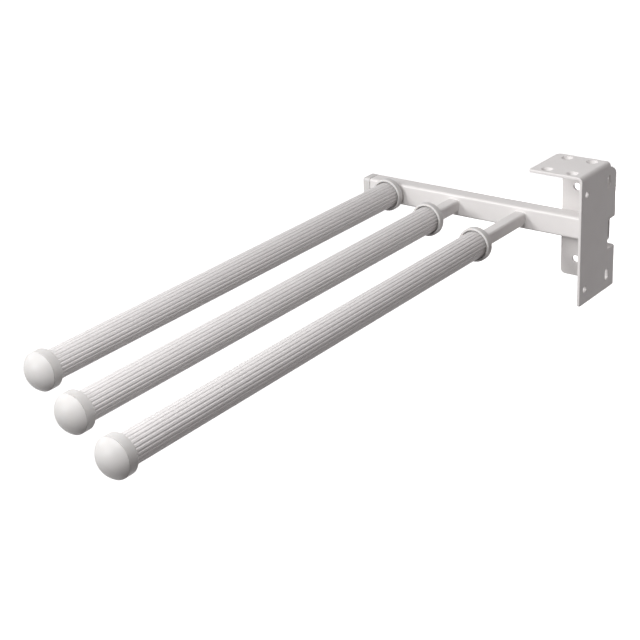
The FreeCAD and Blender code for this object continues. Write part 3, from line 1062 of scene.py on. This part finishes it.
def studio_floor():
    material = bpy.data.materials.new("pale_floor")
    material.use_nodes = True
    tree = material.node_tree
    tree.nodes.clear()
    paper = shader(tree, "BsdfDiffuse", {"Color": pale_paper})
    glow = shader(tree, "Emission", {"Color": white, "Strength": floor_glow})
    glowing_paper = shader(tree, "AddShader", {0: paper.outputs[0], 1: glow.outputs[0]})
    dim_paper = shader(tree, "BsdfDiffuse", {"Color": dark_paper})
    seen = white_to_the_eye(tree, glowing_paper.outputs[0], dim_paper.outputs[0])
    shader(tree, "OutputMaterial", {"Surface": seen})
    work = bmesh.new()
    corners = [(-floor_half, -floor_half), (floor_half, -floor_half),
               (floor_half, floor_half), (-floor_half, floor_half)]
    work.faces.new([work.verts.new((x, y, -floor_drop)) for x, y in corners])
    floor = mesh_object("studio_floor", work, material)
    print(f"floor {floor_drop} m below")


studio_floor()

# %% Surroundings
surround_light = 0.25
warm_white = (1, 0.93, 0.93, 1)


def surroundings():
    world = bpy.data.worlds.new("studio")
    bpy.context.scene.world = world
    world.use_nodes = True
    tree = world.node_tree
    tree.nodes.clear()
    seen = shader(tree, "Background", {"Color": white, "Strength": 1.0})
    lit = shader(tree, "Background", {"Color": warm_white, "Strength": surround_light})
    light = white_to_the_eye(tree, seen.outputs[0], lit.outputs[0])
    shader(tree, "OutputWorld", {"Surface": light})
    print(f"surroundings at {surround_light}")


surroundings()

# %% [markdown]
# ### Lamps
#
# Four lamps, and what each one does on the object:
#
# - the key lamp is far off to the front left, and does not fall off over the object's length. It
#   makes the crossbar's front bright and leaves the side plate in shade;
# - the left soft box stands close to the first arm, so the first cap is the brightest and the
#   third one the darkest, and each dome has a bright left side;
# - the overhead soft box hangs over the front ends, so the tubes' tops are brightest there and
#   the bracket's flange stays a little darker;
# - the rear lamp is low behind, for views from behind. It stays out of the directions in which
#   the flange and the side plate would mirror it to the camera.
#
# One large lamp would be simpler, but near and far lamps together give both an even bar and caps
# that differ. A lamp is placed by its direction and its distance from the object's middle, so it
# can be moved round the object without aiming it again.


# %% Set up the lamps
def add_lamp(name, kind, towards, power):
    """A lamp that shines at the object from a direction."""
    lamp = add_object(name, bpy.data.lights.new(name, kind))
    lamp.rotation_euler = towards.to_track_quat("Z", "Y").to_euler()
    lamp.data.energy = power
    print(f"{name}: {power}")
    return lamp


def far_lamp(name, direction, spread, power):
    """Light without fall-off. The spread is how wide the lamp looks, in degrees."""
    lamp = add_lamp(name, "SUN", Vector(direction).normalized(), power)
    lamp.data.angle = math.radians(spread)


def near_lamp(name, direction, distance, size, power):
    """A round soft box at a distance from the middle of the object."""
    towards = Vector(direction).normalized()
    lamp = add_lamp(name, "AREA", towards, power)
    lamp.location = (cad_low + cad_high) / 2 + towards * distance
    lamp.data.shape = "DISK"
    lamp.data.size = size


far_lamp("key_lamp", direction=(-0.36, -0.84, 0.40), spread=14.0, power=1.3)
near_lamp("overhead_lamp", direction=(0.05, -0.48, 0.60), distance=0.62, size=0.35, power=2.35)
near_lamp("left_lamp", direction=(-0.515, -0.246, 0.299), distance=0.64, size=0.4, power=0.95)
near_lamp("rear_lamp", direction=(-0.20, 0.95, -0.25), distance=2.4, size=1.2, power=18.0)

# %% [markdown]
# ## Camera
#
# The photograph's straight edges meet at vanishing points, and those give the view: 37 degrees
# round to the right, 23 degrees down, a slight roll, and a long lens about 1.1 m away. A camera
# aimed by eye would come close, but every length on the object would be read a little wrong.

# %% Set up the camera
camera_place = Vector((0.5251, -1.0004, 0.3669))
camera_yaw = 37.0
camera_pitch = 23.23
camera_roll = -2.43
camera_lens = 92.25


def photo_camera():
    data = bpy.data.cameras.new("camera")
    data.lens = camera_lens
    data.sensor_width = 36.0
    data.clip_start = 0.05
    data.clip_end = 60.0
    camera = add_object("camera", data)
    turn = (Matrix.Rotation(math.radians(camera_yaw), 4, "Z")
            @ Matrix.Rotation(math.radians(90 - camera_pitch), 4, "X")
            @ Matrix.Rotation(math.radians(camera_roll), 4, "Z"))
    camera.matrix_world = Matrix.Translation(camera_place) @ turn
    bpy.context.scene.camera = camera
    print(f"camera {(camera_place - (cad_low + cad_high) / 2).length:.2f} m away")


photo_camera()
bpy.context.scene.view_settings.view_transform = "Standard"
